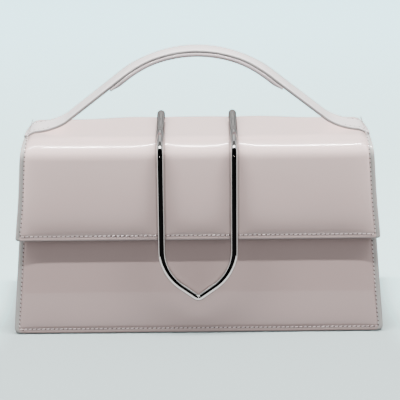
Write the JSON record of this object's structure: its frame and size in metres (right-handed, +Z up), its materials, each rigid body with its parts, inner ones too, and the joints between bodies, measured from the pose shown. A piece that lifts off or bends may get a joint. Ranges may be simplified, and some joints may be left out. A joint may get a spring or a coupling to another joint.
{
  "type": "handbag",
  "caption": "Small structured handbag with folded gussets, a hinged flap, a polished ring over the flap and a strap handle that tilts.",
  "frame": {"origin": "middle of the base on the ground", "axes": "+X to the right along the width, +Y to the back, +Z up; the flap and ring face -Y"},
  "size_m": [0.2412, 0.077, 0.1836],
  "materials": {
    "body_leather": "glossy brushed leather, pale pink grey",
    "flap_leather": "glossy brushed leather, pale pink grey",
    "inner_leather": "smooth matt leather",
    "lining": "fine woven twill",
    "board": "pressed fibre board",
    "polished_metal": "polished pale nickel",
    "magnet_steel": "plated steel",
    "screw_steel": "plated steel"
  },
  "bodies": {
    "body": {"front_panel": "body_leather", "back_panel": "body_leather", "base_panel": "inner_leather", "gusset_left": "body_leather", "gusset_right": "body_leather", "front_board": "board", "back_board": "board", "base_board": "board", "front_lining": "lining", "back_lining": "lining", "base_lining": "lining", "gusset_lining_left": "lining", "gusset_lining_right": "lining", "front_facing": "inner_leather", "back_facing": "inner_leather", "slip_pocket": "lining", "catch_magnet": "magnet_steel", "side_tab_left": "body_leather", "side_tab_right": "body_leather"},
    "flap": {"flap_leather": "flap_leather", "flap_reinforcement": "board", "flap_lining": "inner_leather", "flap_magnet": "magnet_steel", "ring": "polished_metal", "ring_screws": "screw_steel", "handle_end_left": "flap_leather", "handle_end_right": "flap_leather"},
    "handle": {"handle_strap": "flap_leather", "handle_stiffener": "board", "handle_grip": "body_leather"},
    "side_ring_left": {"side_ring_left": "polished_metal"},
    "side_ring_right": {"side_ring_right": "polished_metal"}
  },
  "joints": [
    {"name": "flap_hinge", "type": "hinge", "parent": "body", "child": "flap", "pos_m": [0, 0.02205, 0.12835], "axis": [-1, 0, 0], "range_deg": [0, 110]},
    {"name": "handle_tilt", "type": "hinge", "parent": "flap", "child": "handle", "pos_m": [0, 0, 0.14006], "axis": [1, 0, 0], "range_deg": [-30, 30], "stiffness_Nm_per_rad": 0.1},
    {"name": "side_ring_left_swing", "type": "hinge", "parent": "body", "child": "side_ring_left", "pos_m": [-0.09722, 0, 0.11283], "axis": [0, 1, 0], "range_deg": [0, 100]},
    {"name": "side_ring_right_swing", "type": "hinge", "parent": "body", "child": "side_ring_right", "pos_m": [0.09722, 0, 0.11283], "axis": [0, -1, 0], "range_deg": [0, 100]}
  ]
}
